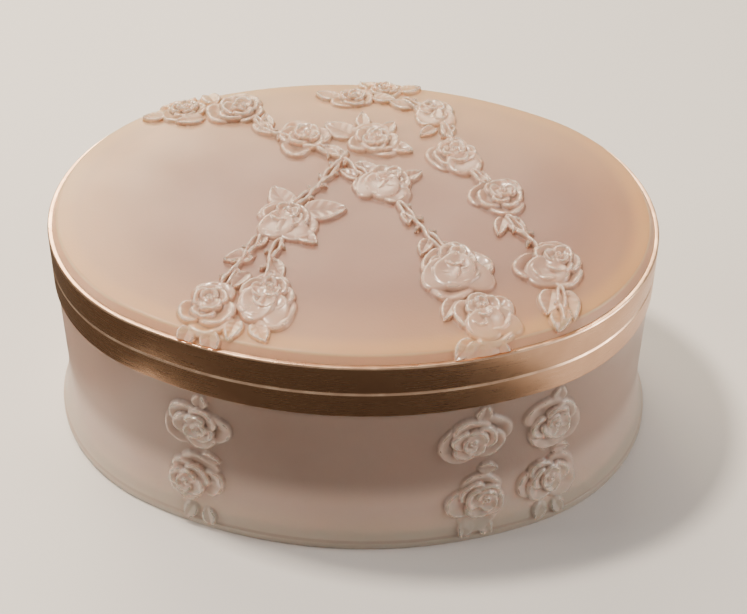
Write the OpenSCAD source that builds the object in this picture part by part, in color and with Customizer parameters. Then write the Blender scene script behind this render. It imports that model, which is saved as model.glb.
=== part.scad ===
// Oval dressing-table box: two thick pressed crystal halves with moulded rose garlands,
// each held in a fabricated gilt brass mount, and joined by a five-knuckle hinge at the back.
// Origin: centre of the foot on the table. +X to the right, -Y to the front, +Z up.

/* [Heights] */
// Top of the base mount, where the lid shuts
joint_z = 57.8; // [56:0.1:60]
// Height of the base's gilt band
base_band_h = 8.2; // [7:0.1:9]
// Height of the lid's gilt band
lid_band_h = 8.9; // [8.5:0.1:10]
// How far the lid's glass stands above its band at the edge
lid_edge_h = 2.35; // [2:0.05:3]

/* [Crystal] */
// Thickness of the bowl's floor
floor_t = 12; // [9:0.5:14]
// Radius between the bowl's floor and its wall
bowl_fillet = 8; // [6:0.5:9]
// Thickness of the lid in its middle
lid_t = 9; // [7:0.5:10]
// How far the foot stands out past the bands
foot_out = 2.2; // [1.5:0.1:3]
// Height of the waist, where the wall starts to flare to the foot
waist_z = 22; // [18:1:26]
// Size of a moulded rose compared with the drawn one
rose_scale = 1; // [0.8:0.05:1.1]

/* [Mounts] */
// Thickness of a gilt band
band_t = 1.3; // [1:0.1:1.6]
// Thickness of the flat rim plates
plate_t = 1.2; // [0.8:0.1:1.4]
// Thickness of the cement bed
cement_t = 0.3; // [0.2:0.05:0.4]
// How far the collar stands up inside the shut lid
collar_rise = 1.5; // [1:0.1:1.6]

/* [Hinge] */
// Length of the hinge
hinge_length = 30; // [26:1:34]
// Radius of the hinge barrel
barrel_r = 1.8; // [1.7:0.05:1.9]
// Radius of the hinge pin
pin_r = 0.8; // [0.7:0.05:0.9]
// Angle at which the stop holds the lid open
stop_angle = 101; // [95:1:105]

/* [Hidden] */
// The oval's plan and the lid's pillow. The mouldings are seated on these, so they are fixed.
half_length = 85.2;     // to the outer face of the gilt bands
half_width = 63;        // to the outer face of the gilt bands
end_r = 55.6;           // radius of the oval's two ends
lid_crown = 2.8;        // rise of the lid from its edge to its flat middle

glass_tint = [0.93, 0.85, 0.80];
gilt = [0.80, 0.62, 0.42];
gilt_dark = [0.68, 0.52, 0.34];
cement_tint = [0.88, 0.84, 0.76];

// The oval: two end arcs and two side arcs that share tangents.
end_c = half_length - end_r;
side_r = end_c * end_c / (2 * (half_width - end_r)) + (half_width + end_r) / 2;
side_c = side_r - half_width;
wedge_reach = 3;        // the wedges run to this many times the arc centres
cut_h = 200;            // taller than everything, for cutters

// Heights.
seat_gap = 0.1;         // between the two bands when the lid is shut
band_low = joint_z - base_band_h;
lid_low = joint_z + seat_gap;
band_high = lid_low + lid_band_h;
lid_edge_z = band_high + lid_edge_h;
lid_top_z = lid_edge_z + lid_crown;

// Offsets from the bands' outer face, negative inwards.
band_in = -band_t;
rebate = band_in - cement_t;
wall_top = -0.7;        // the wall just under the band
wall_waist = -1;        // the wall at the waist
wall_in = -7;           // the bowl's inner face
collar_out = wall_in - 0.3;
collar_in = collar_out - 0.8;
lid_plate_in = -6.8;    // clear of the collar by half a millimetre
arris = -2.6;           // the lid's top edge
plateau = -40;          // inside this the lid is flat

// Foot.
foot_edge_h = 2.5;
foot_bevel = 0.8;
foot_recess = 1.2;
foot_inner = -9;
flare_r = 65;

// Band edges.
joint_chamfer = 0.6;
edge_chamfer = 0.3;

// Hinge.
pin_y = half_width + 0.1;
pin_z = joint_z + seat_gap / 2;
knuckles = 5;
knuckle_l = hinge_length / knuckles;
knuckle_gap = 0.15;
bore_r = pin_r + 0.05;  // running fit in the lid's knuckles
notch_r = barrel_r + 0.15;
leaf_t = 0.8;           // the hinge's leaves
leaf_h = 6;
leaf_inset = 0.6;       // from the joint to a leaf's edge
contact_depth = 0.15;   // how far a stop nose's corner lies under the base leaf's face
nose_r = 2.3;           // the stop nose on the lid's knuckles
pin_head_r = 1.15;

$fn = 160;

function hypot(a, b) = sqrt(a * a + b * b);

// Signed distance of a point from the bands' outer face.
function offset_at(x, y) =
    abs(y) * end_c < side_c * (abs(x) - end_c)
        ? hypot(abs(x) - end_c, y) - end_r
        : hypot(x, abs(y) + side_c) - side_r;

// Height of the lid's plain top at an offset.
crown_span = arris - plateau;
crown_r = (crown_span * crown_span + lid_crown * lid_crown) / (2 * lid_crown);
function lid_z(d) =
    d < plateau ? lid_top_z
                : lid_top_z - crown_r + sqrt(crown_r * crown_r - (d - plateau) * (d - plateau));

// Offset of the bowl's plain wall at a height.
function wall_d(z) =
    z > waist_z ? wall_waist + (wall_top - wall_waist) * (z - waist_z) / (band_low - waist_z)
                : wall_waist + flare_r - sqrt(flare_r * flare_r - (waist_z - z) * (waist_z - z));

// Where the line from the arcs' centres meets the oval at an offset.
function join_x(d) = end_c + (end_r + d) * end_c / hypot(end_c, side_c);

// Direction of the wall's outward normal at a place along the front.
function wall_heading(x, d) =
    abs(x) < join_x(d) ? -90 + asin(x / (side_r + d))
                       : -90 + sign(x) * asin((abs(x) - end_c) / (end_r + d));

function wall_y(x, d) =
    abs(x) < join_x(d) ? side_c - sqrt(pow(side_r + d, 2) - x * x)
                       : -sqrt(pow(end_r + d, 2) - pow(abs(x) - end_c, 2));

// ---- the oval sweep: children draw a profile, x = offset, y = height ----

module end_wedge() {
    linear_extrude(cut_h)
        polygon([[end_c, 0],
                 [end_c * (1 + wedge_reach), -side_c * wedge_reach],
                 [end_c * (1 + 2 * wedge_reach), 0],
                 [end_c * (1 + wedge_reach), side_c * wedge_reach]]);
}

module side_wedge() {
    linear_extrude(cut_h)
        polygon([[-end_c, 0], [end_c, 0],
                 [end_c * (1 + wedge_reach), side_c * wedge_reach],
                 [-end_c * (1 + wedge_reach), side_c * wedge_reach]]);
}

module turned(r) {
    rotate_extrude()
        intersection() {
            translate([r, 0]) children();
            square([2 * side_r, cut_h]);
        }
}

module oval_sweep() {
    for (s = [0, 1])
        mirror([s, 0, 0])
            intersection() {
                translate([end_c, 0, 0]) turned(end_r) children();
                end_wedge();
            }
    for (s = [0, 1])
        mirror([0, s, 0])
            intersection() {
                translate([0, -side_c, 0]) turned(side_r) children();
                side_wedge();
            }
}

// ---- the moulded relief ----

// How deep the relief's pieces run into the glass, so that they close on a curved face
relief_sink = 2.5;

// One tier of petals: discs round a ring, up to a height above the glass.
module petal_tier(count, ring, petal, height) {
    translate([0, 0, -relief_sink])
        linear_extrude(relief_sink + height)
            for (i = [0:count - 1])
                rotate(i * 360 / count) translate([ring, 0]) circle(petal);
}

// A rose head, 0.3 of its radius high: five outer petals, three inner ones and a bud.
module rose(r) {
    petal_tier(5, 0.56 * r, 0.44 * r, 0.16 * r);
    rotate([0, 0, 17]) petal_tier(3, 0.22 * r, 0.36 * r, 0.23 * r);
    petal_tier(1, 0, 0.2 * r, 0.3 * r);
}

// A pointed leaf, lying along +X from its stalk: what two equal arcs enclose.
moulded_leaf_l = 9;
moulded_leaf_rise = 1.2;
module leaf(l) {
    bow = l * 0.62;
    half = l * 0.26;
    translate([0, 0, -relief_sink])
        linear_extrude(relief_sink + moulded_leaf_rise)
            intersection() {
                translate([l / 2, bow - half]) circle(bow);
                translate([l / 2, half - bow]) circle(bow);
            }
}

// A stem from one place on the lid to the next, just over half of it above the glass.
stem_r = 1.2;
stem_lift = 0.3;
knot_r = 1.6;
function on_top(p) = [p[0], p[1], lid_z(offset_at(p[0], p[1])) + stem_lift];
module stem(from, to) {
    run = on_top(to) - on_top(from);
    translate(on_top(from))
        rotate([0, acos(run[2] / norm(run)), atan2(run[1], run[0])])
            cylinder(r = stem_r, h = norm(run), $fn = 32);
}

module on_lid(x, y, turn = 0) {
    translate([x, y, lid_z(offset_at(x, y))])
        rotate([0, 0, turn])
            children();
}

// Puts a child on the front wall, its +Z outwards and its +Y up.
module on_front(x, z) {
    d = wall_d(z);
    translate([x, wall_y(x, d), z])
        rotate([90, 0, wall_heading(x, d) + 90])
            children();
}

// The three garlands, as [x, y, radius of the rose there, or 0 for bare stem].
garlands = [
    [[-53, 42, 6], [-38, 40, 9], [-26, 29, 0], [-17, 26, 8], [-3, 17, 0], [8, 5, 8],
     [17, -9, 0], [30, -30, 10], [38, -46, 8]],
    [[-35, -46, 8], [-20, -44, 9], [-24, -27, 0], [-18, -12, 8], [-10, 4, 0], [4, 27, 8]],
    [[6, 54, 5], [-3, 47, 6], [21, 43, 7], [29, 21, 8], [41, 3, 8], [46, -11, 0],
     [55, -26, 9], [58, -42, 4]]
];

// Leaves beside the garlands, as [x, y, direction].
lid_leaves = [[-26, 29, 150], [-9, 33, 60], [11, 32, 40], [-4, 17, 100], [20, 16, 200],
              [-25, -8, 170], [-10, -8, 20], [-25, -30, 210], [23, -24, 170], [48, -22, 160],
              [24, 49, 20], [45, -13, 30]];

module lid_garland(garland) {
    for (i = [1:len(garland) - 1])
        stem(garland[i - 1], garland[i]);
    for (p = garland)
        on_lid(p[0], p[1], 31 * p[0])
            if (p[2] > 0)
                rose(p[2] * rose_scale);
            else
                petal_tier(1, 0, knot_r, stem_r + stem_lift);   // a bare knot
}

// Rose pairs down the wall under the garlands' ends, as [x, 1 for the back, 0 for the front].
pairs = [[-39, 0], [37, 0], [57, 0], [-45, 1], [4, 1]];
upper_rose_z = 37;
lower_rose_z = 15;
wall_leaf_z = 24;
wall_rose_r = 8.5;

module base_relief() {
    for (p = pairs)
        mirror([0, p[1], 0]) {
            on_front(p[0], upper_rose_z) rotate([0, 0, 20]) rose(wall_rose_r * rose_scale);
            on_front(p[0], lower_rose_z) rotate([0, 0, 50]) rose(wall_rose_r * rose_scale);
            on_front(p[0], wall_leaf_z) rotate([0, 0, 15]) leaf(moulded_leaf_l * rose_scale);
        }
}

// ---- crystal ----

module base_profile() {
    difference() {
        polygon([[-side_r, foot_recess], [foot_inner, foot_recess], [foot_inner + foot_recess, 0],
                 [foot_out - foot_bevel, 0], [foot_out, foot_bevel], [foot_out, foot_edge_h],
                 [foot_out, waist_z], [wall_waist, waist_z], [wall_top, band_low],
                 [rebate, band_low], [rebate, joint_z - plate_t - cement_t],
                 [wall_in, joint_z - plate_t - cement_t],
                 [wall_in, floor_t + bowl_fillet], [wall_in - bowl_fillet, floor_t + bowl_fillet],
                 [wall_in - bowl_fillet, floor_t], [-side_r, floor_t]]);
        // the flare
        intersection() {
            translate([wall_waist + flare_r, waist_z]) circle(flare_r, $fn = 360);
            translate([wall_waist, foot_edge_h]) square([10, waist_z - foot_edge_h]);
        }
    }
    // the round between floor and wall
    difference() {
        translate([wall_in - bowl_fillet, floor_t]) square(bowl_fillet);
        translate([wall_in - bowl_fillet, floor_t + bowl_fillet]) circle(bowl_fillet, $fn = 96);
    }
}

module base_glass() {
    color(glass_tint) {
        oval_sweep() base_profile();
        base_relief();
    }
}

module lid_profile() {
    low = lid_low + plate_t + cement_t;
    hollow_z = lid_top_z - lid_t;
    intersection() {
        polygon([[-side_r, hollow_z], [lid_plate_in - (hollow_z - low), hollow_z],
                 [lid_plate_in, low], [rebate, low], [rebate, band_high + edge_chamfer],
                 [arris, lid_edge_z], [arris, lid_top_z + 1], [-side_r, lid_top_z + 1]]);
        union() {
            translate([plateau, lid_top_z - crown_r]) circle(crown_r, $fn = 720);
            translate([-side_r, 0]) square([side_r + plateau, lid_top_z]);
        }
    }
}

module lid_glass() {
    color(glass_tint) {
        oval_sweep() lid_profile();
        for (g = garlands)
            lid_garland(g);
        for (l = lid_leaves)
            on_lid(l[0], l[1], l[2]) leaf(moulded_leaf_l * rose_scale);
    }
}

// ---- cement beds ----

module base_cement() {
    color(cement_tint)
        difference() {
            oval_sweep() {
                translate([rebate, band_low + edge_chamfer])
                    square([cement_t, base_band_h - plate_t - edge_chamfer]);
                translate([wall_in, joint_z - plate_t - cement_t])
                    square([rebate - wall_in, cement_t]);
            }
            hinge_notch();
        }
}

module lid_cement() {
    color(cement_tint)
        difference() {
            oval_sweep() {
                translate([rebate, lid_low + plate_t])
                    square([cement_t, lid_band_h - plate_t - edge_chamfer]);
                translate([lid_plate_in, lid_low + plate_t])
                    square([rebate - lid_plate_in, cement_t]);
            }
            hinge_notch();
        }
}

// ---- gilt mounts ----

module base_band() {
    color(gilt)
        difference() {
            oval_sweep()
                polygon([[band_in, band_low], [-edge_chamfer, band_low],
                         [0, band_low + edge_chamfer], [0, joint_z - joint_chamfer],
                         [-joint_chamfer, joint_z], [band_in, joint_z]]);
            hinge_notch();
        }
}

module lid_band() {
    color(gilt)
        difference() {
            oval_sweep()
                polygon([[band_in, lid_low], [-edge_chamfer, lid_low],
                         [0, lid_low + edge_chamfer], [0, band_high - edge_chamfer],
                         [-edge_chamfer, band_high], [band_in, band_high]]);
            hinge_notch();
        }
}

// Flat ring soldered inside the base's band, over the glass's ground rim.
module base_rim_plate() {
    color(gilt_dark)
        difference() {
            oval_sweep()
                translate([collar_out, joint_z - plate_t])
                    square([band_in - collar_out, plate_t]);
            hinge_notch();
        }
}

// Flat ring soldered inside the lid's band, under the glass.
module lid_rim_plate() {
    color(gilt_dark)
        difference() {
            oval_sweep()
                translate([lid_plate_in, lid_low])
                    square([band_in - lid_plate_in, plate_t]);
            hinge_notch();
        }
}

// Upright ring soldered to the rim plate's inner edge: it lines the mouth and centres the lid.
module base_collar() {
    drop = 4.3;
    color(gilt)
        oval_sweep()
            polygon([[collar_in, joint_z - drop], [collar_out, joint_z - drop],
                     [collar_out, joint_z + collar_rise - edge_chamfer],
                     [collar_out - edge_chamfer, joint_z + collar_rise],
                     [collar_in, joint_z + collar_rise]]);
}

// ---- hinge ----

module along_pin(from, length, r) {
    translate([from, pin_y, pin_z])
        rotate([90, 0, 90])
            cylinder(r = r, h = length, $fn = 64);
}

// Room for the barrel in the bands, the rim plates and the cement.
module hinge_notch() {
    margin = 0.3;
    along_pin(-hinge_length / 2 - margin, hinge_length + 2 * margin, notch_r);
}

// Every second knuckle, counted from the left end.
module knuckle_row(first, r, gap) {
    for (i = [first:2:knuckles - 1])
        along_pin(-hinge_length / 2 + i * knuckle_l + gap, knuckle_l - 2 * gap, r);
}

// A strip soldered on the outside of a band across the back.
module leaf_strip(low) {
    intersection() {
        oval_sweep() translate([0, low]) square([leaf_t, leaf_h]);
        translate([-hinge_length / 2, 0, 0]) cube([hinge_length, 2 * half_width, cut_h]);
    }
}

module hinge_base_leaf() {
    color(gilt)
        difference() {
            union() {
                difference() {
                    leaf_strip(joint_z - leaf_inset - leaf_h);
                    knuckle_row(1, notch_r, -knuckle_gap);
                }
                knuckle_row(0, barrel_r, knuckle_gap);
            }
            along_pin(-hinge_length, 2 * hinge_length, pin_r);
        }
}

module hinge_lid_leaf() {
    contact = acos((leaf_t - contact_depth) / notch_r);   // where a nose meets the base's leaf
    nose_from = stop_angle - contact;            // above the horizontal, with the lid shut
    nose_wide = 24;
    color(gilt)
        difference() {
            union() {
                difference() {
                    leaf_strip(lid_low + leaf_inset);
                    knuckle_row(0, notch_r, -knuckle_gap);
                }
                knuckle_row(1, barrel_r, knuckle_gap);
                // the stop noses
                intersection() {
                    knuckle_row(1, nose_r, knuckle_gap);
                    translate([-hinge_length, pin_y, pin_z])
                        rotate([90, 0, 90])
                            linear_extrude(2 * hinge_length)
                                polygon([[0, 0],
                                         4 * [cos(nose_from), sin(nose_from)],
                                         4 * [cos(nose_from + nose_wide),
                                              sin(nose_from + nose_wide)]]);
                }
            }
            along_pin(-hinge_length, 2 * hinge_length, bore_r);
        }
}

module hinge_pin() {
    head_t = 0.6;
    color(gilt_dark) {
        along_pin(-hinge_length / 2, hinge_length, pin_r);
        along_pin(-hinge_length / 2 - head_t, head_t, pin_head_r);
        along_pin(hinge_length / 2, head_t, pin_head_r);
    }
}

base_glass();
base_cement();
base_band();
base_rim_plate();
base_collar();
hinge_base_leaf();
hinge_pin();
lid_glass();
lid_cement();
lid_band();
lid_rim_plate();
hinge_lid_leaf();
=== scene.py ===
"""The looks of an oval crystal box: frosted glass with moulded rose garlands, in gilt mounts."""
import math

import bmesh
import bpy
import numpy as np
from mathutils import Matrix, Vector


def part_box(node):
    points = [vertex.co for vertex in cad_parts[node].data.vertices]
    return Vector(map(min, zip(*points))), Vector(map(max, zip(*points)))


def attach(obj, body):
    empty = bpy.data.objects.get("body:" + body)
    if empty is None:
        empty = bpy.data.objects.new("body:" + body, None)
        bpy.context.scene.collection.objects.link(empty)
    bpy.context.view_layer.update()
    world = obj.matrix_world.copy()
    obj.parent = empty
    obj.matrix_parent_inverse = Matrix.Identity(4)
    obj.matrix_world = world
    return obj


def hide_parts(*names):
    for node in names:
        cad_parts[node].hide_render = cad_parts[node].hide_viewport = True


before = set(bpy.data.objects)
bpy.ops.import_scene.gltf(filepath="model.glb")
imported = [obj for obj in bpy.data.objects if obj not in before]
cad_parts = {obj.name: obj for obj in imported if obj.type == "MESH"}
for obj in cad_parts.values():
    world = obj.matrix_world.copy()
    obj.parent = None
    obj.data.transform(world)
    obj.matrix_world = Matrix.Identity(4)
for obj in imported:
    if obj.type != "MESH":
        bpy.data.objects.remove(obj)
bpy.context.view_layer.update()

# ---------------------------------------------------------------- sizes, in mm from the frame
MM = 0.001


def box_mm(node):
    low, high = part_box(node)
    return [v / MM for v in low], [v / MM for v in high]


band_low = box_mm("base_band")[0][2]
joint_z = box_mm("base_band")[1][2]
lid_band_low = box_mm("lid_band")[0][2]
band_high = box_mm("lid_band")[1][2]

HALF_L = 85.2               # the bands' outer face
HALF_W = 63.0
END_R = 55.6                # radius of the oval's two ends
END_C = HALF_L - END_R
SIDE_R = END_C ** 2 / (2 * (HALF_W - END_R)) + (HALF_W + END_R) / 2
SIDE_C = SIDE_R - HALF_W

BAND_T = 1.3
EDGE_CHAMFER = 0.3          # a band's outer edges
JOINT_CHAMFER = 0.6         # the base band's edge at the joint
TOP_CHAMFER = 0.35          # the lid band's top edge
EDGE_R = 0.12               # rounding of a band's corners
PLATE_T = 1.2
CEMENT_T = 0.3
REBATE = -(BAND_T + CEMENT_T)
GLASS_GAP = 0.05            # keeps glass and metal from sharing a face
ARRIS = -2.6                # offset of the lid's top edge
LID_EDGE_H = 2.35           # how far the glass stands above its band
LID_EDGE_Z = band_high + LID_EDGE_H
LID_CROWN = 2.8
LID_TOP_Z = LID_EDGE_Z + LID_CROWN
LID_T = 9.0                 # the lid's thickness in its middle
LID_HOLLOW_Z = LID_TOP_Z - LID_T
PLATEAU = -40.0             # inside this offset the lid is flat
LID_PLATE_IN = -6.8         # the edge of the lid's shallow hollow
WALL_IN = -7.0              # the bowl's inner face
FLOOR_T = 12.0
BOWL_FILLET = 8.0
WAIST_Z = 22.0              # where the wall starts to flare
WALL_WAIST = -1.0
WALL_TOP = -0.7
FLARE_R = 65.0              # radius of the flare
FOOT_OUT = 2.2              # how far the foot stands out past the bands
FOOT_EDGE_H = 2.5
FOOT_RECESS = 1.2           # depth of the hollow under the foot
FOOT_INNER = -9.0

CROWN_SPAN = ARRIS - PLATEAU
CROWN_R = (CROWN_SPAN ** 2 + LID_CROWN ** 2) / (2 * LID_CROWN)


# ---------------------------------------------------------------- the oval
def smooth(low, high, x):
    t = np.clip((x - low) / (high - low), 0, 1)
    return t * t * (3 - 2 * t)


def signed_offset(x, y):
    """Signed distance from the bands' outer face, and the outward normal."""
    ax, ay = np.abs(x), np.abs(y)
    end = ay * END_C < SIDE_C * (ax - END_C)
    ex, ey = np.where(end, ax - END_C, ax), np.where(end, ay, ay + SIDE_C)
    length = np.hypot(ex, ey)
    d = length - np.where(end, END_R, SIDE_R)
    return d, np.sign(x) * ex / length, np.sign(y) * ey / length


def oval_ring(count):
    """Points and outward normals evenly spaced along the bands' outer face, from +X."""
    join = math.atan2(SIDE_C, END_C)
    quarter = END_R * join + SIDE_R * (math.pi / 2 - join)
    s = np.arange(count) / count * 4 * quarter
    fold = np.abs(((s + quarter) % (2 * quarter)) - quarter)
    angle = np.where(fold < END_R * join, fold / END_R, join + (fold - END_R * join) / SIDE_R)
    on_end = angle < join
    x = np.where(on_end, END_C + END_R * np.cos(angle), SIDE_R * np.cos(angle))
    y = np.where(on_end, END_R * np.sin(angle), SIDE_R * np.sin(angle) - SIDE_C)
    nx, ny = np.cos(angle), np.sin(angle)
    # fold the first quarter out to all four
    lap = s / quarter
    flip_x = np.where((lap > 1) & (lap < 3), -1, 1)
    flip_y = np.where(lap > 2, -1, 1)
    return np.stack([x * flip_x, y * flip_y], 1), np.stack([nx * flip_x, ny * flip_y], 1)


def lid_z(d):
    """Height of the lid's plain top at an offset."""
    bow = CROWN_R - np.sqrt(np.maximum(CROWN_R ** 2 - (d - PLATEAU) ** 2, 0))
    return np.where(d < PLATEAU, LID_TOP_Z, LID_TOP_Z - bow)


def wall_d(z):
    """Offset of the bowl's plain wall at a height."""
    upper = WALL_WAIST + (WALL_TOP - WALL_WAIST) * (z - WAIST_Z) / (band_low - WAIST_Z)
    flare = WALL_WAIST + FLARE_R - np.sqrt(FLARE_R ** 2 - np.minimum(WAIST_Z - z, WAIST_Z) ** 2)
    return np.where(z > WAIST_Z, upper, flare)


# ---------------------------------------------------------------- meshes
RING = 320                  # points round the oval; a multiple of 8
CORE = 0.6                  # how far out a cap's square core reaches
CAP_RINGS = 36


class Shell:
    """Vertices and faces of one closed solid, gathered ring by ring."""

    def __init__(self, count=RING):
        self.count = count
        self.points, self.normals = oval_ring(count)
        self.verts = []
        self.faces = []
        self.size = 0

    def add(self, block):
        start = self.size
        self.verts.append(block)
        self.size += len(block)
        return start

    def ring(self, d, z):
        xy = self.points + d * self.normals
        return self.add(np.column_stack([xy, np.full(self.count, z)]))

    def band(self, low, high):
        k = np.arange(self.count)
        nxt = (k + 1) % self.count
        self.faces.append(np.stack([low + k, low + nxt, high + nxt, high + k], 1))

    def loft(self, profile, first=None):
        """Rings at each (offset, height), joined in order; the outside is on the right."""
        for d, z in profile:
            here = self.ring(d, z)
            if first is not None:
                self.band(first, here)
            first = here
        return first

    def cap(self, edge, d, height, up):
        """Closes a ring with rings that end in a square core. height is a function of x, y."""
        n = self.count // 8
        u = np.linspace(-1, 1, 2 * n + 1)
        gu, gv = np.meshgrid(u, u, indexing="ij")
        disc = np.stack([gu * np.sqrt(1 - gv ** 2 / 2), gv * np.sqrt(1 - gu ** 2 / 2)], -1)
        core = CORE * (0.55 * disc + 0.45 * 0.8 * np.stack([gu, gv], -1))
        side = np.arange(2 * n)
        i = np.concatenate([np.full(n, 2 * n), 2 * n - side, np.zeros(2 * n, int), side,
                            np.full(n, 2 * n)])
        j = np.concatenate([n + np.arange(n), np.full(2 * n, 2 * n), 2 * n - side,
                            np.zeros(2 * n, int), np.arange(n)])
        outline = self.points + d * self.normals

        def place(p):
            turn = np.mod(np.arctan2(p[..., 1], p[..., 0]) / (2 * math.pi), 1) * self.count
            low = np.floor(turn).astype(int) % self.count
            part = (turn - np.floor(turn))[..., None]
            at = outline[low] * (1 - part) + outline[(low + 1) % self.count] * part
            return at * np.linalg.norm(p, axis=-1)[..., None]

        angle = 2 * math.pi * np.arange(self.count) / self.count
        circle = np.stack([np.cos(angle), np.sin(angle)], 1)
        inner = core[i, j]
        last = edge
        for step in range(1, CAP_RINGS):
            t = step / CAP_RINGS
            xy = place(circle * (1 - t) + inner * t)
            here = self.add(np.column_stack([xy, height(xy[:, 0], xy[:, 1])]))
            self.band(last, here) if up else self.band(here, last)
            last = here
        xy = place(core.reshape(-1, 2))
        start = self.add(np.column_stack([xy, height(xy[:, 0], xy[:, 1])]))
        index = start + np.arange((2 * n + 1) ** 2).reshape(2 * n + 1, 2 * n + 1)
        rim = index[i, j]
        nxt = np.roll(np.arange(self.count), -1)
        k = np.arange(self.count)
        joined = np.stack([last + k, last + nxt, rim[nxt], rim[k]], 1)
        quads = np.stack([index[:-1, :-1], index[1:, :-1], index[1:, 1:], index[:-1, 1:]],
                         -1).reshape(-1, 4)
        self.faces.append(joined if up else joined[:, ::-1])
        self.faces.append(quads if up else quads[:, ::-1])

    def mesh(self, name):
        data = bpy.data.meshes.new(name)
        data.from_pydata(np.concatenate(self.verts).tolist(), [],
                         np.concatenate(self.faces).tolist())
        data.update()
        return data


def piece(name, data, body, nodes, smooth_angle=40):
    """Puts a mesh, drawn in mm, into the scene as a piece that stands for CAD nodes."""
    data.transform(Matrix.Scale(MM, 4))
    obj = bpy.data.objects.new(name, data)
    bpy.context.scene.collection.objects.link(obj)
    data.shade_smooth()
    data.set_sharp_from_angle(angle=math.radians(smooth_angle))
    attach(obj, body)
    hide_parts(*nodes)
    return obj


def refine(data, chosen, cuts):
    """Divides the faces that chosen picks by their centres; numpy arrays in, mask out."""
    bm = bmesh.new()
    bm.from_mesh(data)
    centres = np.array([f.calc_center_median() for f in bm.faces])
    mask = chosen(centres)
    edges = {e for f, m in zip(bm.faces, mask) if m for e in f.edges}
    bmesh.ops.subdivide_edges(bm, edges=list(edges), cuts=cuts, use_grid_fill=True)
    bmesh.ops.recalc_face_normals(bm, faces=bm.faces)
    bm.to_mesh(data)
    bm.free()


def coords(data):
    flat = np.empty(len(data.vertices) * 3)
    data.vertices.foreach_get("co", flat)
    return flat.reshape(-1, 3)


def set_coords(data, points):
    data.vertices.foreach_set("co", points.ravel())
    data.update()


# ---------------------------------------------------------------- the relief's shapes
# Each returns a height in mm over local places u, v, and 0 outside the shape.
def turned(u, v, angle):
    c, s = math.cos(math.radians(angle)), math.sin(math.radians(angle))
    return u * c + v * s, v * c - u * s


def petal(u, v, at, size, turn, base, rise, bulge=0.0, wave=0.0, pleat=0.0):
    """A petal lying at a place, its lip to +X of its turn: cupped by rise, or bulging by bulge."""
    x, y = turned(u - at[0], v - at[1], turn)
    x, y = x / size[0], y / size[1]
    angle = np.arctan2(y, x)
    q = np.hypot(x, y) / (1 + 0.06 * np.cos(2 * angle + wave) + 0.045 * np.sin(3 * angle + 2 * wave))
    facing = smooth(-0.75, 0.55, x)
    cup = rise * facing * smooth(0.1, 0.86, q) ** 1.4
    folds = pleat * np.cos(9 * y + 5 * wave) * smooth(0.1, 0.7, x)
    rim = np.sqrt(np.clip(1 - (np.maximum(q - 0.8, 0) / 0.2) ** 2, 0, 1))
    return np.maximum(base + cup + bulge * (1 - q ** 2) + folds, 0.3 * base) * rim


def heart(u, v, r, base, rise, wave):
    """The furled middle of a rose: a tight spiral ridge."""
    q = np.hypot(u, v) / r
    ridge = 0.5 + 0.5 * np.cos(2 * math.pi * 1.6 * q - np.arctan2(v, u) + wave)
    rim = np.sqrt(np.clip(1 - (np.maximum(q - 0.6, 0) / 0.4) ** 2, 0, 1))
    return (base + rise * (0.35 + 0.65 * ridge) * (1 - 0.25 * q)) * rim


# How far to the side each front petal sits, for roses with no, one, two or three of them.
FRONT_SIDES = ((), (0.15,), (-0.85, 0.3), (-0.9, 0.95, 0.1))
GOLDEN_TURN = 137.5         # degrees from each petal to the next
PETALS = 10


def rose(u, v, r, turn, lean=0.0, front=0, seed=0):
    """A rose about 0.34 r high. Its heart leans along turn; front petals close over the near side."""
    draw = np.random.default_rng(seed)
    u, v = turned(u, v, turn)
    high = np.zeros_like(u)
    for i in range(PETALS):
        t = i / (PETALS - 1)
        a = GOLDEN_TURN * i + 40 * draw.random() + 30 * seed
        reach = r * (0.50 - 0.38 * t)
        at = (lean * r * t ** 0.7 + reach * math.cos(math.radians(a)), reach * math.sin(math.radians(a)))
        size = r * (0.52 - 0.30 * t) * (0.9 + 0.22 * draw.random())
        shape = petal(u, v, at, (size, size * (1.02 + 0.2 * draw.random())), a,
                      r * (0.02 + 0.18 * t), r * (0.11 + 0.01 * t), 0.0, 6 * draw.random(), 0.012 * r)
        high = np.maximum(high, shape)
    high = np.maximum(high, heart(u - lean * r, v, 0.15 * r, 0.19 * r, 0.13 * r, seed))
    for i, side in enumerate(FRONT_SIDES[front]):
        at = ((lean - 0.66 + 0.06 * i) * r, side * 0.42 * r)
        wide = 0.62 - 0.16 * abs(side)
        shape = petal(u, v, at, (0.60 * r, wide * r), -side * 30 + 16 * draw.random() - 8,
                      r * (0.10 + 0.035 * i), 0.11 * r, 0.035 * r, 6 * draw.random(), 0.018 * r)
        high = np.maximum(high, shape)
    return high


def leaf(u, v, length, half, turn, rise):
    """A pointed leaf from its stalk at 0, 0 along its turn, folded at the midrib."""
    x, y = turned(u, v, turn)
    t = np.clip(x / length, 0, 1)
    width = half * np.sin(math.pi * t ** 0.8) ** 0.8 + 1e-6
    side = np.abs(y) / width
    inside = (x > 0) & (x < length) & (side < 1)
    veins = 0.05 * np.cos(2 * math.pi * (5 * t - 0.9 * side))
    shape = 0.4 + 0.55 * side ** 0.7 + veins * side * (1 - side) * 3 + 0.2 * t
    edge = np.sqrt(np.clip(1 - (np.maximum(side - 0.72, 0) / 0.28) ** 2, 0, 1))
    return np.where(inside, rise * shape * edge * (0.35 + 0.65 * smooth(0, 0.2, t)), 0)


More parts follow.
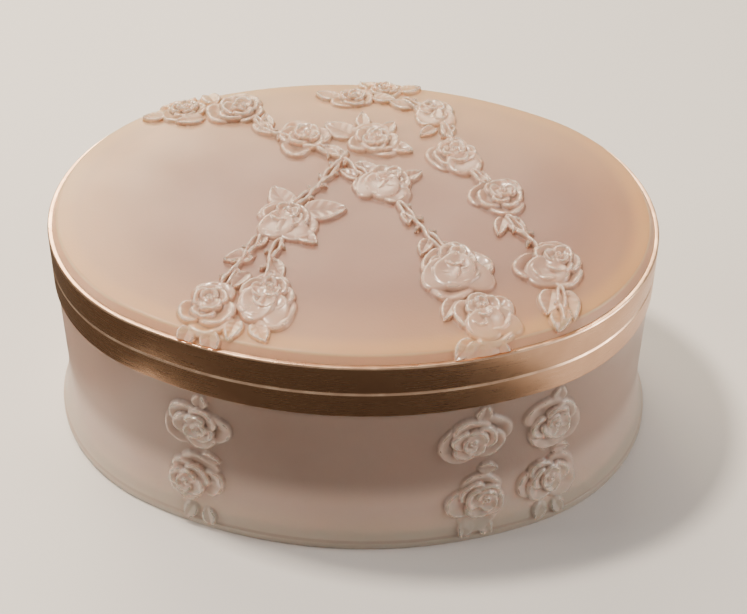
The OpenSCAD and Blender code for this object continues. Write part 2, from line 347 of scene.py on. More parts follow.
def stalk(u, v, points, half, rise):
    """A stem along a polyline, two twined ridges with thorns."""
    high = np.zeros_like(u)
    run = 0.0
    for (x0, y0), (x1, y1) in zip(points, points[1:]):
        dx, dy = x1 - x0, y1 - y0
        length = math.hypot(dx, dy)
        t = np.clip(((u - x0) * dx + (v - y0) * dy) / length ** 2, 0, 1)
        along = run + t * length
        across = (dx * (v - y0) - dy * (u - x0)) / length
        beyond = np.hypot(u - x0 - t * dx, v - y0 - t * dy) - np.abs(across * (t > 0) * (t < 1))
        drift = 0.45 * half * np.sin(along * 0.42)
        for sign in (-1, 1):
            q = np.hypot((across - sign * drift - sign * 0.35 * half) / (0.62 * half),
                         np.maximum(beyond, 0) / half)
            knots = 1 + 0.18 * np.sin(along * 1.1 + sign)
            high = np.maximum(high, rise * knots * np.sqrt(np.clip(1 - q ** 2, 0, 1)))
        run += length
    spacing = 3.2
    place = 0.5 * spacing
    run = 0.0
    side = 1
    for (x0, y0), (x1, y1) in zip(points, points[1:]):
        length = math.hypot(x1 - x0, y1 - y0)
        heading = math.degrees(math.atan2(y1 - y0, x1 - x0))
        while place < run + length:
            t = (place - run) / length
            at = (x0 + t * (x1 - x0), y0 + t * (y1 - y0))
            thorn = leaf(u - at[0], v - at[1], 2.4 * half, 0.5 * half, heading + side * 62,
                         1.05 * rise)
            high = np.maximum(high, thorn)
            side = -side
            place += spacing
        run += length
    return high


# The lid's garlands, drawn in mm from its middle.
# Roses: x, y, radius, the way the heart leans in degrees, how far, front petals.
LID_ROSES = [
    # from the back left to the front right
    (-53.5, 41, 7.5, 60, 0.2, 0), (-38, 40.5, 10, 15, 0.28, 0), (-17, 26.5, 9.2, 35, 0.25, 0),
    (8.5, 5.5, 9.2, 75, 0.5, 3), (29.5, -29.5, 10.8, 100, 0.45, 3), (38, -46, 9.2, 115, 0.4, 2),
    # from the front left to the middle
    (-34.5, -47, 9.8, 80, 0.2, 0), (-20, -44, 9.8, 75, 0.42, 2), (-18, -12, 9.4, 80, 0.35, 2),
    (4, 27, 9, 20, 0.1, 0),
    # from the back to the front right
    (5.5, 56, 6.5, 80, 0.2, 0), (-3, 49, 7, 90, 0.3, 0), (21, 42.5, 7.8, 95, 0.45, 2),
    (29, 21, 9, 125, 0.25, 1), (40.7, 2.5, 9, 70, 0.28, 0), (55, -25.5, 9.8, 65, 0.4, 1),
]
# Leaves: x, y of the stalk, length, half width, direction.
LID_LEAVES = [
    # round the back left pair
    (-56, 43, 9, 3.2, 130), (-53, 45, 8, 3, 95), (-58, 38, 7, 2.6, 190), (-44, 45, 9, 3, 120),
    (-46, 37, 9, 2.8, 200), (-31, 35, 9, 3, 310), (-27, 31, 8, 2.4, 100),
    # round the middle
    (-10, 23, 8, 2.4, 330), (8, 26, 8.5, 2.8, 337), (6, 30, 8, 2.6, 62), (1, 33, 8.5, 2.4, 97),
    (-1, 29, 11, 4.4, 150), (-1, 16, 10, 2.4, 335), (3, 9, 8, 2.4, 160), (12, 9, 8, 2.4, 30),
    (15, -4, 7, 2, 280),
    # down to the front left
    (-16, -7, 12, 4.4, 124), (-14, -7, 13, 4.8, 8), (-15, -15, 9, 3, 320), (-22, -18, 8, 2.4, 235),
    (-24, -26, 9, 3, 200), (-20, -28, 8, 2.6, 300), (-25, -33, 8, 2.4, 240),
    (-38, -53, 7, 2.8, 240), (-33, -54, 8, 3, 270), (-26, -50, 8, 2.6, 255), (-22, -51, 8, 2.8, 300),
    # the back clump and down to the front right
    (6, 58, 6, 2.6, 95), (2, 57, 6, 2.8, 130), (10, 56, 7, 2.6, 20), (2, 52, 8, 2.8, 340),
    (-7, 50, 8, 2.8, 165), (15, 46, 8, 2.6, 160), (26, 38, 8, 2.4, 260), (22, 36, 7, 2.2, 230),
    (33, 14, 7, 2.2, 320), (43, -5, 10, 2.6, 300), (42, -5, 9, 2.2, 260),
    # the front right ends
    (22, -16, 8, 2.2, 255), (30, -39, 9, 2.6, 250), (35, -38, 9, 2.4, 290), (37, -53, 10, 3.8, 262),
    (41, -53, 8, 3.2, 290), (35, -53, 8, 2.8, 238), (55, -33, 10, 3.4, 262), (57, -33, 11, 3.8, 290),
    (57, -40, 8, 3, 270),
]
# Stems, as the places they run through.
LID_STEMS = [
    [(-31, 36), (-26, 29), (-20, 27)],
    [(-12, 23), (-3, 17), (3, 10)],
    [(13, -2), (19, -11), (26, -21)],
    [(-16, -5), (-10, 4), (-3, 20)],
    [(-24, -19), (-27, -28), (-31, -38)],
    [(-18, -20), (-20, -28), (-20, -36)],
    [(12, 50), (17, 46)], [(24, 37), (27, 28)], [(33, 14), (37, 9)],
    [(43, -6), (47, -12), (52, -19)], [(57, -33), (58, -44)],
]
CAVITY_REACH = 0.8          # how far round a place its hollow is judged
STEM_HALF = 1.15            # half a stem's width
STEM_RISE = 1.7             # its height
LEAF_RISE = 1.4             # a leaf's height


def lay(high, x, y, at, reach, shape):
    """Lays a shape's height over the places within reach of it."""
    u, v = x - at[0], y - at[1]
    near = np.hypot(u, v) < reach
    high[near] = np.maximum(high[near], shape(u[near], v[near]))


def lid_relief(x, y):
    high = np.zeros_like(x)
    for points in LID_STEMS:
        middle = np.mean(points, 0)
        reach = max(math.dist(middle, p) for p in points) + 3 * STEM_HALF
        local = [(px - middle[0], py - middle[1]) for px, py in points]
        lay(high, x, y, middle, reach, lambda u, v: stalk(u, v, local, STEM_HALF, STEM_RISE))
    for lx, ly, length, half, turn in LID_LEAVES:
        lay(high, x, y, (lx, ly), length, lambda u, v: leaf(u, v, length, half, turn, LEAF_RISE))
    for seed, (rx, ry, r, turn, lean, front) in enumerate(LID_ROSES):
        lay(high, x, y, (rx, ry), 1.35 * r, lambda u, v: rose(u, v, r, turn, lean, front, seed))
    return high


def near_garlands(x, y):
    close = np.zeros(len(x), bool)
    for rx, ry, r, _, _, _ in LID_ROSES:
        close |= np.hypot(x - rx, y - ry) < 1.1 * r + 1.5
    for lx, ly, length, half, turn in LID_LEAVES:
        u, v = turned(x - lx, y - ly, turn)
        close |= (u > -2) & (u < length + 2) & (np.abs(v) < half + 2)
    for points in LID_STEMS:
        for (x0, y0), (x1, y1) in zip(points, points[1:]):
            run = (x1 - x0) ** 2 + (y1 - y0) ** 2
            t = np.clip(((x - x0) * (x1 - x0) + (y - y0) * (y1 - y0)) / run, 0, 1)
            close |= np.hypot(x - x0 - t * (x1 - x0), y - y0 - t * (y1 - y0)) < 5
    return close


# Rose pairs down the wall: the pair's x and side (-1 front, 1 back), then for the upper and the
# lower rose its height, the way its heart leans and how far.
WALL_PAIRS = [
    (-38.5, -1, (37, 20, 0.05), (16.5, 200, 0.35)),
    (37, -1, (37, 150, 0.1), (14.5, 0, 0.35)),
    (57, -1, (36.5, 20, 0.15), (14, 60, 0.25)),
    (-45, 1, (37, 30, 0.1), (15, 180, 0.3)),
    (4, 1, (37, 160, 0.1), (15, 10, 0.3)),
]
WALL_ROSE_R = 10.4          # a wall rose's radius
WALL_RISE = 0.8             # wall roses are this much flatter than the lid's


# ---------------------------------------------------------------- the lid's glass
def unrolled(points):
    """Places on the lid's top, with its bevelled edge laid flat, and how far over it they are."""
    d, nx, ny = signed_offset(points[:, 0], points[:, 1])
    drop = np.maximum(LID_EDGE_Z - points[:, 2], 0) * (d > ARRIS - 1.2)
    return points[:, 0] + drop * nx, points[:, 1] + drop * ny, drop, nx, ny


def lid_glass():
    shell = Shell()
    low = lid_band_low + PLATE_T + CEMENT_T
    glass_out = REBATE - GLASS_GAP
    top_d = ARRIS - 0.8
    rounding = [(ARRIS - 0.35, float(lid_z(np.array(ARRIS - 0.35))) - 0.03), (ARRIS, LID_EDGE_Z - 0.25),
                (ARRIS + 0.2, LID_EDGE_Z - 0.62)]
    foot_of_bevel = (-BAND_T - GLASS_GAP, band_high + 0.08)
    bevel = [tuple(np.array(rounding[-1]) * (1 - t) + np.array(foot_of_bevel) * t)
             for t in (0.33, 0.67, 1)]
    profile = [(LID_PLATE_IN - (LID_HOLLOW_Z - low), LID_HOLLOW_Z), (LID_PLATE_IN - 0.6, low + 0.6),
               (LID_PLATE_IN, low + 0.15), (LID_PLATE_IN + 0.2, low), (glass_out - 0.2, low),
               (glass_out, low + 0.2), (glass_out, band_high - 2), (glass_out, band_high + 0.02)]
    first = shell.ring(*profile[0])
    last = shell.loft(profile[1:] + bevel[::-1] + rounding[::-1] +
                      [(top_d, float(lid_z(np.array(top_d))))], first)
    shell.cap(last, top_d, lambda x, y: lid_z(signed_offset(x, y)[0]), True)
    shell.cap(first, profile[0][0], lambda x, y: np.full(len(x), LID_HOLLOW_Z), False)
    data = shell.mesh("lid_glass_relief")
    top = band_high - 0.3

    def chosen(c):
        x, y, _, _, _ = unrolled(c)
        return (c[:, 2] > top) & near_garlands(x, y)

    refine(data, chosen, 4)
    points = coords(data)
    upper = points[:, 2] > top
    d = signed_offset(points[:, 0], points[:, 1])[0]
    flat = upper & (d < top_d - 0.05)
    points[flat, 2] = lid_z(d[flat])
    x, y, drop, nx, ny = unrolled(points)
    high = np.where(upper, lid_relief(x, y), 0)
    hollow = np.where(upper, cavity(high, lambda dx, dy: lid_relief(x + dx, y + dy)), 0)
    tilt = np.clip(drop / 2.2, 0, 1) * 0.9
    points[:, 0] += high * nx * tilt
    points[:, 1] += high * ny * tilt
    points[:, 2] += high * (1 - 0.55 * tilt)
    set_coords(data, points)
    mark(data, high, hollow, d)
    return data


def cavity(high, shifted):
    """How far each place lies below the mean height round it; shifted gives heights close by."""
    total = np.zeros_like(high)
    turns = [math.radians(60 * k) for k in range(6)]
    for a in turns:
        total += shifted(CAVITY_REACH * math.cos(a), CAVITY_REACH * math.sin(a))
    return total / len(turns) - high


def mark(data, high, hollow, rim):
    """Keeps the relief's height, its hollows and the offset from the rim, for the material."""
    for name, values in (("relief", high), ("hollow", hollow), ("rim", rim)):
        layer = data.attributes.new(name, "FLOAT", "POINT")
        layer.data.foreach_set("value", values.astype(np.float32))


# ---------------------------------------------------------------- the base's glass
# Leaves round a wall pair: across and up from the pair's foot, length, half width, direction.
WALL_LEAVES = [
    (1, 26, 6, 2.2, 350), (-1, 7.5, 6, 2.2, 245), (2.5, 7, 6, 2.2, 290), (1.5, 44, 5.5, 2.4, 80),
]


def wall_relief(points):
    d, nx, ny = signed_offset(points[:, 0], points[:, 1])
    z = points[:, 2]
    high = np.zeros(len(points))
    for pair, (x, side, *roses) in enumerate(WALL_PAIRS):
        span = signed_span(points[:, 0], points[:, 1], x, side)
        here = (np.sign(points[:, 1]) == side) & (np.abs(span) < 20)
        s, h = span[here], z[here]
        bloom = np.zeros(len(s))
        for lx, lz, length, half, turn in WALL_LEAVES:
            lay(bloom, s, h, (lx, lz), length, lambda u, v: leaf(u, v, length, half, turn, LEAF_RISE))
        for i, (at, turn, lean) in enumerate(roses):
            lay(bloom, s, h, (0, at), 1.35 * WALL_ROSE_R,
                lambda u, v: rose(u, v, WALL_ROSE_R, turn, lean, 0, 30 + 2 * pair + i))
        high[here] = np.maximum(high[here], WALL_RISE * bloom)
    fade = smooth(0.2, 2.4, z) * (1 - smooth(band_low - 1.2, band_low - 0.2, z))
    return high * fade, nx, ny


def signed_span(x, y, at, side):
    """Distance along the wall from the place at x = at, positive to the right as seen from outside."""
    def along(px, py):
        join = math.atan2(SIDE_C, END_C)
        ax = np.abs(px)
        end = np.abs(py) * END_C < SIDE_C * (ax - END_C)
        a = np.where(end, np.arctan2(np.abs(py), ax - END_C), np.arctan2(np.abs(py) + SIDE_C, ax))
        s = np.where(end, END_R * a, END_R * join + SIDE_R * (a - join))
        quarter = END_R * join + SIDE_R * (math.pi / 2 - join)
        return np.where(px >= 0, quarter - s, s - quarter)
    ay = wall_y(at)
    here = along(np.array([float(at)]), np.array([ay]))[0]
    return (along(x, y) - here) * (-side)


def wall_y(x):
    join_x = END_C + END_R * END_C / math.hypot(END_C, SIDE_C)
    if abs(x) < join_x:
        return math.sqrt(SIDE_R ** 2 - x * x) - SIDE_C
    return math.sqrt(END_R ** 2 - (abs(x) - END_C) ** 2)


def base_glass():
    shell = Shell()
    rim = joint_z - PLATE_T - CEMENT_T
    out = REBATE - GLASS_GAP
    fillet = [(WALL_IN - BOWL_FILLET * (1 - math.sin(a)), FLOOR_T + BOWL_FILLET * (1 - math.cos(a)))
              for a in np.linspace(0, math.pi / 2, 9)]
    wall = [(float(wall_d(np.array(z))), z) for z in np.linspace(band_low - 0.25, FOOT_EDGE_H + 0.3, 26)]
    foot = [(FOOT_OUT - 0.12, FOOT_EDGE_H + 0.12), (FOOT_OUT, FOOT_EDGE_H - 0.1), (FOOT_OUT, 0.9),
            (FOOT_OUT - 0.2, 0.35), (FOOT_OUT - 0.7, 0)]
    under = [(FOOT_INNER + FOOT_RECESS + 0.3, 0), (FOOT_INNER + FOOT_RECESS, 0.1),
             (FOOT_INNER, FOOT_RECESS)]
    rim_line = [(WALL_IN, rim - 0.3), (WALL_IN + 0.3, rim), (out - 0.3, rim), (out, rim - 0.3),
                (out, band_low - 0.02), (WALL_TOP - 0.25, band_low - 0.02)]
    inside = fillet + [(WALL_IN, z) for z in np.linspace(FLOOR_T + BOWL_FILLET + 3, rim - 3, 9)]
    outline = (inside + rim_line + wall + foot + under)[::-1]
    first = shell.ring(*outline[0])
    last = shell.loft(outline[1:], first)
    shell.cap(first, outline[0][0], lambda x, y: np.full(len(x), FOOT_RECESS), False)
    shell.cap(last, outline[-1][0], lambda x, y: np.full(len(x), FLOOR_T), True)
    data = shell.mesh("base_glass_relief")

    def outside(p):
        d = signed_offset(p[:, 0], p[:, 1])[0]
        return (d > wall_d(p[:, 2]) - 0.3) & (p[:, 2] > FOOT_EDGE_H + 0.2) & (p[:, 2] < band_low - 0.2)

    def chosen(c):
        close = np.zeros(len(c), bool)
        for x, side, _, _ in WALL_PAIRS:
            span = signed_span(c[:, 0], c[:, 1], x, side)
            close |= (np.abs(span) < 1.2 * WALL_ROSE_R + 2) & (np.sign(c[:, 1]) == side)
        return close & outside(c)

    refine(data, chosen, 4)
    points = coords(data)
    wall_now = outside(points)
    d, nx, ny = signed_offset(points[:, 0], points[:, 1])
    shift = np.where(wall_now, wall_d(points[:, 2]) - d, 0)
    points[:, 0] += shift * nx
    points[:, 1] += shift * ny
    high, nx, ny = wall_relief(points)
    along = np.stack([-ny, nx, np.zeros(len(nx))], 1)
    hollow = cavity(high, lambda dx, dz: wall_relief(points + dx * along + [0, 0, dz])[0])
    high = np.where(wall_now, high, 0)
    hollow = np.where(wall_now, hollow, 0)
    points[:, 0] += high * nx
    points[:, 1] += high * ny
    set_coords(data, points)
    mark(data, high, hollow, d)
    return data


# ---------------------------------------------------------------- gilt rings
METAL_RING = 480            # points round a metal ring


def ring_piece(name, outline, body, nodes):
    """A closed ring swept round the oval from its (offset, height) outline, clockwise."""
    shell = Shell(METAL_RING)
    first = shell.ring(*outline[0])
    last = shell.loft(outline[1:], first)
    shell.band(last, first)
    data = shell.mesh(name)
    bm = bmesh.new()
    bm.from_mesh(data)
    bmesh.ops.recalc_face_normals(bm, faces=bm.faces)
    bm.to_mesh(data)
    bm.free()
    return piece(name, data, body, nodes)


NOTCH_R = 1.95              # the hinge's barrel and 0.15 mm of air
NOTCH_HALF = 15.3           # half the notch's length


def cut_notch(obj):
    """Cuts the room for the hinge's barrel out of a ring at the back."""
    pin_low, pin_high = box_mm("hinge_pin")
    bm = bmesh.new()
    bmesh.ops.create_cone(bm, cap_ends=True, segments=64, radius1=NOTCH_R * MM, radius2=NOTCH_R * MM,
                          depth=2 * NOTCH_HALF * MM)
    pin_y = (pin_low[1] + pin_high[1]) / 2
    pin_z = (pin_low[2] + pin_high[2]) / 2
    bm.transform(Matrix.Translation((0, pin_y * MM, pin_z * MM)) @ Matrix.Rotation(math.pi / 2, 4, "Y"))
    tool_data = bpy.data.meshes.new("notch_tool")
    bm.to_mesh(tool_data)
    bm.free()
    tool = bpy.data.objects.new("notch_tool", tool_data)
    bpy.context.scene.collection.objects.link(tool)
    cut = obj.modifiers.new("notch", "BOOLEAN")
    cut.operation = "DIFFERENCE"
    cut.object = tool
    shape = bpy.data.meshes.new_from_object(obj.evaluated_get(bpy.context.evaluated_depsgraph_get()))
    obj.modifiers.clear()
    old = obj.data
    obj.data = shape
    bpy.data.meshes.remove(old)
    bpy.data.objects.remove(tool)
    bpy.data.meshes.remove(tool_data)


def rounded(corners, radius, steps=4):
    """An outline with its corners rounded; each corner is (x, y) or (x, y, its own radius)."""
    out = []
    for i, corner in enumerate(corners):
        p = np.array(corner[:2], float)
        r = corner[2] if len(corner) > 2 else radius
        before = np.array(corners[i - 1][:2], float) - p
        after = np.array(corners[(i + 1) % len(corners)][:2], float) - p
        before /= np.linalg.norm(before)
        after /= np.linalg.norm(after)
        half = math.acos(float(np.clip(before @ after, -1, 1))) / 2
        reach = r / math.tan(half)
        for t in np.linspace(0, 1, steps + 1):
            a, b = p + before * reach, p + after * reach
            out.append(tuple((1 - t) ** 2 * a + 2 * t * (1 - t) * p + t * t * b))
    return out


# ---------------------------------------------------------------- materials
def node_tree(name):
    material = bpy.data.materials.new(name)
    material.use_nodes = True
    tree = material.node_tree
    return material, tree, tree.nodes["Principled BSDF"]


def join(tree, source, target):
    tree.links.new(source, target)


def noise(tree, coords, scale, detail=3.0, rough=0.5):
    node = tree.nodes.new("ShaderNodeTexNoise")
    node.inputs["Scale"].default_value = scale
    node.inputs["Detail"].default_value = detail
    node.inputs["Roughness"].default_value = rough
    join(tree, coords, node.inputs["Vector"])
    return node.outputs["Fac"]


def attribute(tree, name):
    node = tree.nodes.new("ShaderNodeAttribute")
    node.attribute_name = name
    return node.outputs["Fac"]


def spread(tree, source, low, high, to_low=0.0, to_high=1.0):
    node = tree.nodes.new("ShaderNodeMapRange")
    node.interpolation_type = "SMOOTHSTEP"
    for key, value in (("From Min", low), ("From Max", high), ("To Min", to_low), ("To Max", to_high)):
        node.inputs[key].default_value = value
    join(tree, source, node.inputs["Value"])
    return node.outputs["Result"]


def blend(tree, factor, a, b):
    """Mixes two colours, each a tuple or a socket, by a socket or a number."""
    node = tree.nodes.new("ShaderNodeMix")
    node.data_type = "RGBA"
    sockets = [node.inputs[0], node.inputs[6], node.inputs[7]]
    for socket, value in zip(sockets, (factor, a, b)):
        if isinstance(value, bpy.types.NodeSocket):
            join(tree, value, socket)
        else:
            socket.default_value = value if isinstance(value, (int, float)) else (*value, 1)
    return node.outputs[2]


def times(tree, a, b, operation="MULTIPLY"):
    node = tree.nodes.new("ShaderNodeMath")
    node.operation = operation
    node.use_clamp = operation in ("ADD", "SUBTRACT")
    for socket, value in zip(node.inputs, (a, b)):
        if isinstance(value, bpy.types.NodeSocket):
            join(tree, value, socket)
        else:
            socket.default_value = value
    return node.outputs[0]


def bump(tree, shader, height, strength, distance):
    node = tree.nodes.new("ShaderNodeBump")
    node.inputs["Strength"].default_value = strength
    node.inputs["Distance"].default_value = distance
    join(tree, height, node.inputs["Height"])
    join(tree, node.outputs["Normal"], shader.inputs["Normal"])


def object_axes(tree):
    where = tree.nodes.new("ShaderNodeTexCoord").outputs["Object"]
    axes = tree.nodes.new("ShaderNodeSeparateXYZ")
    join(tree, where, axes.inputs[0])
    return where, axes.outputs


def crystal(name, tint, relief_tint_and_light, relief_amount):
    """Satin-frosted crystal over a tint that carries painted light: milky, its relief paler (milkier
    glass and painted light), with painted shade in the creases and painted highlights on the ridges.
    """
    material, tree, shader = node_tree(name)
    where, axes = object_axes(tree)
    colour = tint(tree, where, axes)
    relief = attribute(tree, "relief")
    hollow = attribute(tree, "hollow")
    # Partly painted light: the raised relief is paled, for its milkier glass and as painted brightness
    # where light catches the roses.
    raised = spread(tree, relief, 0.1, 2.0)
    colour = blend(tree, times(tree, raised, relief_amount), colour, relief_tint_and_light)
    # Painted shade: the relief's hollows and creases are darkened towards a deep brown.
    crease_shade = times(tree, spread(tree, hollow, 0.10, 0.60), spread(tree, relief, 0.0, 0.5, 0.4, 1.0))
    colour = blend(tree, times(tree, crease_shade, 0.78), colour, (0.20, 0.12, 0.09))
    # Painted highlight: the relief's ridges are lightened towards a warm near-white.
    ridge = spread(tree, times(tree, hollow, -1.0), 0.10, 0.45)
    colour = blend(tree, times(tree, ridge, 0.85), colour, (1.0, 0.81, 0.67))
    join(tree, colour, shader.inputs["Base Color"])
    satin = spread(tree, noise(tree, where, 60, 3), 0.3, 0.7, 0.37, 0.45)
    polish = times(tree, times(tree, raised, 0.12), times(tree, ridge, 0.10), "ADD")
    join(tree, times(tree, satin, polish, "SUBTRACT"), shader.inputs["Roughness"])
    shader.inputs["IOR"].default_value = 1.52
    shader.inputs["Transmission Weight"].default_value = 0.6
    shader.inputs["Subsurface Weight"].default_value = 0.4
    shader.inputs["Subsurface Radius"].default_value = (1.0, 0.7, 0.55)
    shader.inputs["Subsurface Scale"].default_value = 0.004
    join(tree, times(tree, raised, 0.5), shader.inputs["Coat Weight"])
    shader.inputs["Coat Roughness"].default_value = 0.13
    grain = times(tree, noise(tree, where, 1400, 2), times(tree, noise(tree, where, 240, 3), 0.6), "ADD")
    bump(tree, shader, grain, 0.25, 0.00012)
    return material


def lid_tint_and_light(tree, where, axes):
    """Rosy in the middle, with painted light: warm near the rim as a painted glow of light and gilt seen
    through the glass, painted palest at the back and paler to the left, with a painted highlight on the
    arris and painted shading on the bevel.
    """
    cloud = spread(tree, noise(tree, where, 22, 4), 0.35, 0.65)
    colour = blend(tree, cloud, (0.385, 0.225, 0.18), (0.445, 0.27, 0.22))
    rim = attribute(tree, "rim")
    # Painted glow: warm bands towards the rim stand for light and gilt seen through the thick glass.
    colour = blend(tree, times(tree, spread(tree, rim, -26, -6), 0.42), colour, (0.92, 0.57, 0.31))
    colour = blend(tree, times(tree, spread(tree, rim, -9.5, -4.5), 0.72), colour, (0.94, 0.56, 0.24))
    # Painted light: the back and the left are paled where the lamps behind and to the left fall.
    back = times(tree, spread(tree, axes[1], 0, 60 * MM), 0.55)
    colour = blend(tree, back, colour, (1.0, 0.72, 0.43))
    left = times(tree, spread(tree, axes[0], -35 * MM, -85 * MM), 0.4)
    colour = blend(tree, left, colour, (1.0, 0.70, 0.42))
    # Painted highlight along the rim's arris.
    arris_highlight = times(tree, spread(tree, rim, ARRIS - 0.55, ARRIS - 0.2), 0.6)
    colour = blend(tree, arris_highlight, colour, (1.0, 0.80, 0.54))
    # Painted shading: the bevel below the arris gets a tone of its own, as its face is lit apart from the
    # top.
    bevel = spread(tree, axes[2], (LID_EDGE_Z - 0.35) * MM, (LID_EDGE_Z - 0.6) * MM)
    return blend(tree, bevel, colour, (0.90, 0.58, 0.38))


def base_tint_and_light(tree, where, axes):
    """A cloudy tone with painted light: darker round the upper wall's long sides, painted paler at the
    ends and down the flare to the foot, with a painted shade line above the foot's edge.
    """
    cloud = spread(tree, noise(tree, where, 18, 4), 0.35, 0.65)
    colour = blend(tree, cloud, (0.42, 0.325, 0.28), (0.48, 0.375, 0.325))
    # Painted light: the wall's ends are paled as if lit through from the sides.
    ends = spread(tree, times(tree, axes[0], 0.0, "ABSOLUTE"), 42 * MM, 78 * MM)
    colour = blend(tree, ends, colour, (0.62, 0.45, 0.37))
    # Painted light: the wall is paled down the flare to the foot, as where it turns up into the light.
    colour = blend(tree, spread(tree, axes[2], 24.5 * MM, 14 * MM), colour, (0.90, 0.73, 0.64))
    colour = blend(tree, spread(tree, axes[2], 14 * MM, 4 * MM), colour, (1.0, 0.80, 0.65))
    # Painted shade: a dark line just above the foot's edge.
    above = spread(tree, axes[2], (FOOT_EDGE_H - 0.2) * MM, (FOOT_EDGE_H + 0.2) * MM)
    below = spread(tree, axes[2], (FOOT_EDGE_H + 1) * MM, (FOOT_EDGE_H + 0.5) * MM)
    foot_line_shade = times(tree, above, below)
    return blend(tree, times(tree, foot_line_shade, 0.35), colour, (0.45, 0.27, 0.19))


def painted_edge_highlights(tree, where, height):
    """Painted highlights: bright lines on the joint's chamfer and the lid band's top edge, broken up
    unevenly.
    """
    above = spread(tree, height, (joint_z - JOINT_CHAMFER - 0.02) * MM, (joint_z - 0.5) * MM)
    below = spread(tree, height, (joint_z + 0.02) * MM, (joint_z - 0.02) * MM)
    top = spread(tree, height, (band_high - 0.45) * MM, (band_high - 0.3) * MM)
    # Noise breaks the painted highlights into uneven sparkles.
    sparkle = spread(tree, noise(tree, where, 160, 2), 0.4, 0.65, 0.3, 1.0)
    return times(tree, times(tree, times(tree, above, below), top, "ADD"), sparkle)


def gilt(name, tint, dark, low_rough, high_rough):
    """Satin gilt brass: brushed along the rim, duller in patches, darker where it has aged, with painted
    highlights on its edges.
    """
    material, tree, shader = node_tree(name)
    where, axes = object_axes(tree)
    mapping = tree.nodes.new("ShaderNodeMapping")
    mapping.inputs["Scale"].default_value = (1, 1, 60)
    join(tree, where, mapping.inputs["Vector"])
    brushed = noise(tree, mapping.outputs["Vector"], 90, 4, 0.6)
    patches = spread(tree, noise(tree, where, 45, 4), 0.4, 0.7)
    colour = blend(tree, times(tree, patches, 0.5), tint, dark)
    colour = blend(tree, spread(tree, brushed, 0.35, 0.7, 0, 0.12), colour, dark)
    # Painted highlights on the band edges.
    colour = blend(tree, painted_edge_highlights(tree, where, axes[2]), colour, (1.0, 0.70, 0.47))
    join(tree, colour, shader.inputs["Base Color"])
    shader.inputs["Metallic"].default_value = 1.0
    grain = spread(tree, brushed, 0.3, 0.7, low_rough, high_rough)
    join(tree, times(tree, grain, times(tree, patches, 0.06), "ADD"), shader.inputs["Roughness"])
    bump(tree, shader, brushed, 0.08, 0.0001)
    return material


def cement(name):
    material, tree, shader = node_tree(name)
    where, _ = object_axes(tree)
    colour = blend(tree, noise(tree, where, 300, 5), (0.46, 0.41, 0.33), (0.66, 0.61, 0.52))
    join(tree, colour, shader.inputs["Base Color"])
    shader.inputs["Roughness"].default_value = 0.9
    bump(tree, shader, noise(tree, where, 900, 4), 0.5, 0.0003)
    return material


def dress(obj, material):
    obj.data.materials.clear()
    obj.data.materials.append(material)


# ---------------------------------------------------------------- the pieces
GLASS_SHARP = 75            # degrees: only sharper edges than this stay sharp on the glass
# The lid and base tints and the relief tints carry painted light.
lid_crystal = crystal("lid_crystal", lid_tint_and_light, (0.98, 0.77, 0.63), 0.55)
base_crystal = crystal("base_crystal", base_tint_and_light, (1.0, 0.80, 0.69), 0.95)
band_gilt = gilt("band_gilt", (0.68, 0.42, 0.27), (0.50, 0.29, 0.18), 0.24, 0.32)
inner_gilt = gilt("inner_gilt", (0.72, 0.50, 0.28), (0.55, 0.36, 0.2), 0.16, 0.28)
hinge_gilt = gilt("hinge_gilt", (0.60, 0.41, 0.25), (0.38, 0.24, 0.14), 0.25, 0.4)
setting_cement = cement("setting_cement")

lid = piece("lid_glass_relief", lid_glass(), "lid", ["lid_glass"], GLASS_SHARP)
dress(lid, lid_crystal)
base = piece("base_glass_relief", base_glass(), "base", ["base_glass"], GLASS_SHARP)
dress(base, base_crystal)

base_band = ring_piece("base_band_ring", rounded([
    (-BAND_T, band_low), (-EDGE_CHAMFER, band_low, 0.1), (0, band_low + EDGE_CHAMFER, 0.2),
    (0, joint_z - JOINT_CHAMFER, 0.1), (-JOINT_CHAMFER, joint_z, 0.1), (-BAND_T, joint_z)],
    EDGE_R), "base", ["base_band"])
cut_notch(base_band)
dress(base_band, band_gilt)
lid_band = ring_piece("lid_band_ring", rounded([
    (-BAND_T, lid_band_low), (-EDGE_CHAMFER, lid_band_low, 0.1),
    (0, lid_band_low + EDGE_CHAMFER, 0.2), (0, band_high - TOP_CHAMFER, 0.25),
    (-TOP_CHAMFER, band_high, 0.2), (-BAND_T, band_high)],
    EDGE_R), "lid", ["lid_band"])
cut_notch(lid_band)
dress(lid_band, band_gilt)
for node, material in (("base_rim_plate", inner_gilt), ("lid_rim_plate", inner_gilt),
                       ("base_collar", inner_gilt), ("base_cement", setting_cement),
                       ("lid_cement", setting_cement), ("hinge_base_leaf", hinge_gilt),
                       ("hinge_lid_leaf", hinge_gilt), ("hinge_pin", hinge_gilt)):
    dress(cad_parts[node], material)

# ---------------------------------------------------------------- the stage
def plain(name, colour, rough=0.6):
    material, tree, shader = node_tree(name)
    shader.inputs["Base Color"].default_value = (*colour, 1)
    shader.inputs["Roughness"].default_value = rough
    return material


def sheet(name, corners, material):
    data = bpy.data.meshes.new(name)
    data.from_pydata(corners, [], [(0, 1, 2, 3)])
    obj = bpy.data.objects.new(name, data)
    bpy.context.scene.collection.objects.link(obj)
    data.materials.append(material)
    return obj


REACH = 3.0                 # half the floor's width
sheet("floor", [(-REACH, -REACH, 0), (REACH, -REACH, 0), (REACH, REACH, 0), (-REACH, REACH, 0)],
      plain("floor_paper", (0.62, 0.61, 0.60)))
CARD_Z = 0.004              # how far the dark cards lie above the floor


def dark_card(name, x0, x1, y0, y1):
    """A dark card on the table: only reflections see it, so the rims have contrast."""
    card = sheet(name, [(x0, y0, CARD_Z), (x1, y0, CARD_Z), (x1, y1, CARD_Z), (x0, y1, CARD_Z)],
                 plain(name, (0.03, 0.025, 0.02), 0.9))
    card.visible_camera = False
    card.visible_diffuse = False
    card.visible_shadow = False
    card.visible_transmission = False
    card.visible_volume_scatter = False


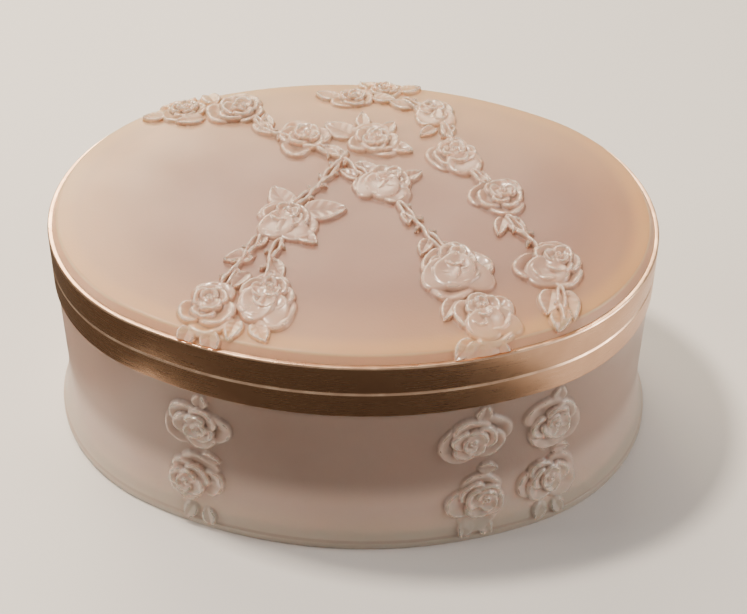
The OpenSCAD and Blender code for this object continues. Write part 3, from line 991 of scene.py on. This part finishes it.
dark_card("front_card", -0.9, 0.10, -0.9, -0.07)
dark_card("left_card", -0.9, -0.093, -0.07, 0.3)


def lamp(name, at, towards, size, power, colour):
    data = bpy.data.lights.new(name, "AREA")
    data.shape = "RECTANGLE"
    data.size, data.size_y = size
    data.energy = power
    data.color = colour
    obj = bpy.data.objects.new(name, data)
    obj.location = at
    obj.rotation_euler = (Vector(towards) - Vector(at)).to_track_quat("-Z", "Y").to_euler()
    bpy.context.scene.collection.objects.link(obj)
    return obj


lamp("high_back", (-0.25, 1.1, 1.0), (0, 0, 0.06), (1.1, 0.5), 15, (1.0, 0.82, 0.62))
lamp("low_back", (-0.6, 1.0, 0.62), (0, 0, 0.06), (0.8, 0.3), 12, (1.0, 0.82, 0.56))
lamp("overhead", (-0.3, 0.1, 0.9), (0, 0, 0.06), (0.10, 0.10), 12, (1.0, 0.86, 0.70))
left_lamp = lamp("left", (-1.0, -0.05, 0.40), (0, 0, 0.03), (0.5, 0.5), 9, (1.0, 0.88, 0.76))
left_lamp.visible_glossy = False
lamp("right", (1.0, -0.15, 0.45), (0, 0, 0.03), (0.5, 0.5), 6.5, (1.0, 0.92, 0.84))
world = bpy.data.worlds.new("studio")
world.use_nodes = True
world.node_tree.nodes["Background"].inputs["Color"].default_value = (0.80, 0.76, 0.72, 1)
world.node_tree.nodes["Background"].inputs["Strength"].default_value = 0.45
bpy.context.scene.world = world

# ---------------------------------------------------------------- the camera
AZIMUTH, ELEVATION = math.radians(4.03), math.radians(41.16)
DISTANCE = 0.5241
back = Vector((math.sin(AZIMUTH) * math.cos(ELEVATION), -math.cos(AZIMUTH) * math.cos(ELEVATION),
               math.sin(ELEVATION)))
target = Vector((0, 0, 0.035))
camera = bpy.data.objects.new("camera", bpy.data.cameras.new("camera"))
camera.location = target + back * DISTANCE
camera.rotation_euler = back.to_track_quat("Z", "Y").to_euler()
camera.data.sensor_width = 36
camera.data.lens = 86.75
camera.data.shift_x = 0.0282
camera.data.shift_y = -0.0098
bpy.context.scene.collection.objects.link(camera)
bpy.context.scene.camera = camera
